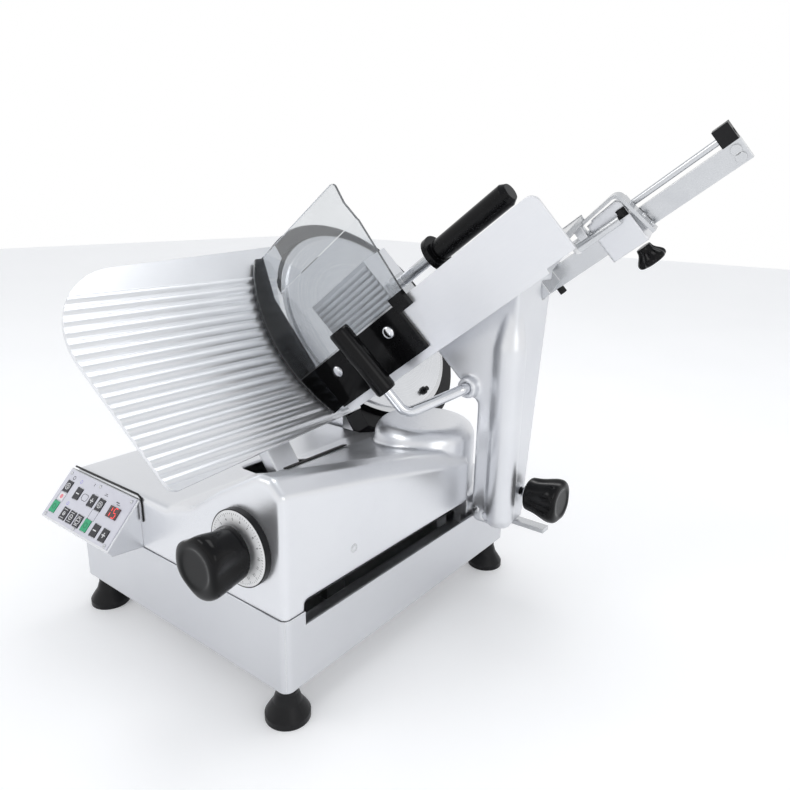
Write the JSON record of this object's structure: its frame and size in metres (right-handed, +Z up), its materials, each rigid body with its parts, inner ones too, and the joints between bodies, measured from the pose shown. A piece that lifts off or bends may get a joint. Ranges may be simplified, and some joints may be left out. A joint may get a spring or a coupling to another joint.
{
  "type": "deli meat slicer",
  "caption": "Gravity-feed deli meat slicer with leaning round blade, ribbed gauge plate, motor-driven carriage, food tray with clear guard, product holder and keypad.",
  "frame": {"origin": "on the supporting surface, under the centre of the bounding box at rest", "axes": "+X to the operator's right, +Y away from the operator along the carriage's travel, +Z up"},
  "size_m": [0.6862, 0.705, 0.6323],
  "materials": {
    "steel": "brushed stainless steel",
    "blade_steel": "polished hardened steel",
    "chrome": "bright chrome plating",
    "aluminium": "anodised aluminium, satin",
    "cast": "cast aluminium, blasted",
    "black_plastic": "black moulded plastic",
    "gloss_black": "glossy black plastic",
    "white_plastic": "white moulded plastic",
    "smoked_clear": "clear smoked polycarbonate",
    "membrane": "pale printed membrane",
    "key_green": "green printed key",
    "key_white": "white printed key",
    "key_black": "black printed key",
    "display": "dark display window",
    "rubber": "black rubber",
    "motor_grey": "grey painted motor"
  },
  "bodies": {
    "base": {"base_tray": "aluminium", "bottom_plate": "steel", "feet": "rubber", "housing": "aluminium", "panel_housing": "aluminium", "panel_face": "membrane", "count_display": "display", "panel_screws": "black_plastic", "dial_ring": "black_plastic", "gauge_rod": "steel", "blade_bearings": "steel", "blade_ring": "black_plastic", "blade_cover": "aluminium", "cover_pin": "black_plastic", "blade_support": "aluminium", "blade_motor": "motor_grey", "blade_belt": "rubber", "carriage_rod": "chrome", "carriage_frame": "cast", "carriage_belt": "rubber", "carriage_motor": "motor_grey"},
    "carriage": {"carriage_block": "cast", "pivot_pin": "steel"},
    "tray": {"arm_casting": "aluminium", "handle_rod": "chrome", "carriage_grip": "black_plastic", "food_tray": "aluminium", "guard_panel": "gloss_black", "tray_screws": "steel", "guard": "smoked_clear", "slide_rail": "steel", "rail_caps": "black_plastic"},
    "clamp_knob": {"clamp_knob": "black_plastic"},
    "release_lever": {"release_lever": "steel"},
    "blade": {"blade": "blade_steel", "blade_shaft": "steel"},
    "motor_pulley": {"motor_pulley_wheel": "steel"},
    "gauge": {"gauge_plate": "aluminium", "gauge_bracket": "cast"},
    "thickness_knob": {"thickness_knob": "gloss_black", "thickness_cam": "aluminium"},
    "drive_pulley": {"drive_pulley_wheel": "steel"},
    "idler_pulley": {"idler_pulley_wheel": "steel"},
    "pusher": {"slider_block": "aluminium", "pusher_arm": "steel", "pusher_plate": "aluminium", "pusher_grip": "black_plastic"},
    "slider_knob": {"slider_knob": "black_plastic"},
    "cover_knob": {"cover_knob": "black_plastic"},
    "key_blade_stop": {"key_blade_stop": "key_white"},
    "key_blade_start": {"key_blade_start": "key_green"},
    "key_stroke_less": {"key_stroke_less": "key_black"},
    "key_stroke_more": {"key_stroke_more": "key_black"},
    "key_carriage_stop": {"key_carriage_stop": "key_black"},
    "key_stroke_short": {"key_stroke_short": "key_black"},
    "key_stroke_middle": {"key_stroke_middle": "key_black"},
    "key_stroke_long": {"key_stroke_long": "key_black"},
    "key_carriage_start": {"key_carriage_start": "key_green"},
    "key_count_down": {"key_count_down": "key_black"},
    "key_count_up": {"key_count_up": "key_black"}
  },
  "joints": [
    {"name": "carriage_slide", "type": "slide", "parent": "base", "child": "carriage", "axis": [0, 1, 0], "range_m": [-0.235, 0]},
    {"name": "tray_tilt", "type": "hinge", "parent": "carriage", "child": "tray", "pos_m": [0.10116, 0.0845, 0.125], "axis": [0, 1, 0], "range_deg": [0, 50]},
    {"name": "clamp_knob_turn", "type": "hinge", "parent": "tray", "child": "clamp_knob", "pos_m": [0.14116, 0.105, 0.155], "axis": [1, 0, 0], "range_deg": [0, 540]},
    {"name": "release_lever_swing", "type": "hinge", "parent": "tray", "child": "release_lever", "pos_m": [0.11516, 0.1055, 0.108], "axis": [0, 0, 1], "range_deg": [-35, 35]},
    {"name": "thickness_knob_turn", "type": "hinge", "parent": "base", "child": "thickness_knob", "pos_m": [0.01766, -0.2925, 0.198], "axis": [0, -1, 0], "range_deg": [0, 300]},
    {"name": "gauge_slide", "type": "slide", "parent": "base", "child": "gauge", "axis": [0.793, 0, 0.6092], "range_m": [-0.0201, 0.0001]},
    {"name": "blade_spin", "type": "hinge", "parent": "base", "child": "blade", "pos_m": [-0.20174, 0.1595, 0.33704], "axis": [0.793, 0, 0.6092], "continuous": true},
    {"name": "motor_spin", "type": "hinge", "parent": "base", "child": "motor_pulley", "pos_m": [-0.21178, 0.1015, 0.18431], "axis": [0.793, 0, 0.6092], "continuous": true},
    {"name": "drive_pulley_turn", "type": "hinge", "parent": "base", "child": "drive_pulley", "pos_m": [0.01316, -0.2415, 0.109], "axis": [1, 0, 0], "range_deg": [-5, 900]},
    {"name": "idler_pulley_turn", "type": "hinge", "parent": "base", "child": "idler_pulley", "pos_m": [0.01316, 0.1245, 0.109], "axis": [1, 0, 0], "range_deg": [-5, 900]},
    {"name": "pusher_slide", "type": "slide", "parent": "tray", "child": "pusher", "axis": [0.793, 0, 0.6092], "range_m": [-0.03, 0.095]},
    {"name": "slider_knob_turn", "type": "hinge", "parent": "pusher", "child": "slider_knob", "pos_m": [0.23229, 0.17922, 0.48773], "axis": [-0.581, -0.3007, 0.7563], "range_deg": [0, 180]},
    {"name": "cover_knob_turn", "type": "hinge", "parent": "base", "child": "cover_knob", "pos_m": [-0.30087, 0.1595, 0.26089], "axis": [0.793, 0, 0.6092], "range_deg": [0, 540]},
    {"name": "blade_stop_press", "type": "slide", "parent": "base", "child": "key_blade_stop", "axis": [0, -0.7286, 0.6849], "range_m": [-0.0008, 0], "stiffness_N_per_m": 300},
    {"name": "blade_start_press", "type": "slide", "parent": "base", "child": "key_blade_start", "axis": [0, -0.7286, 0.6849], "range_m": [-0.0008, 0], "stiffness_N_per_m": 300},
    {"name": "stroke_less_press", "type": "slide", "parent": "base", "child": "key_stroke_less", "axis": [0, -0.7286, 0.6849], "range_m": [-0.0008, 0], "stiffness_N_per_m": 300},
    {"name": "stroke_more_press", "type": "slide", "parent": "base", "child": "key_stroke_more", "axis": [0, -0.7286, 0.6849], "range_m": [-0.0008, 0], "stiffness_N_per_m": 300},
    {"name": "carriage_stop_press", "type": "slide", "parent": "base", "child": "key_carriage_stop", "axis": [0, -0.7286, 0.6849], "range_m": [-0.0008, 0], "stiffness_N_per_m": 300},
    {"name": "stroke_short_press", "type": "slide", "parent": "base", "child": "key_stroke_short", "axis": [0, -0.7286, 0.6849], "range_m": [-0.0008, 0], "stiffness_N_per_m": 300},
    {"name": "stroke_middle_press", "type": "slide", "parent": "base", "child": "key_stroke_middle", "axis": [0, -0.7286, 0.6849], "range_m": [-0.0008, 0], "stiffness_N_per_m": 300},
    {"name": "stroke_long_press", "type": "slide", "parent": "base", "child": "key_stroke_long", "axis": [0, -0.7286, 0.6849], "range_m": [-0.0008, 0], "stiffness_N_per_m": 300},
    {"name": "carriage_start_press", "type": "slide", "parent": "base", "child": "key_carriage_start", "axis": [0, -0.7286, 0.6849], "range_m": [-0.0008, 0], "stiffness_N_per_m": 300},
    {"name": "count_down_press", "type": "slide", "parent": "base", "child": "key_count_down", "axis": [0, -0.7286, 0.6849], "range_m": [-0.0008, 0], "stiffness_N_per_m": 300},
    {"name": "count_up_press", "type": "slide", "parent": "base", "child": "key_count_up", "axis": [0, -0.7286, 0.6849], "range_m": [-0.0008, 0], "stiffness_N_per_m": 300}
  ],
  "couplings": [
    {"joint": "gauge_slide", "follows": "thickness_knob_turn", "m_per_rad": -0.0038197},
    {"joint": "motor_spin", "follows": "blade_spin", "ratio": 2.25},
    {"joint": "drive_pulley_turn", "follows": "carriage_slide", "rad_per_m": -66.225},
    {"joint": "idler_pulley_turn", "follows": "carriage_slide", "rad_per_m": -66.225}
  ]
}
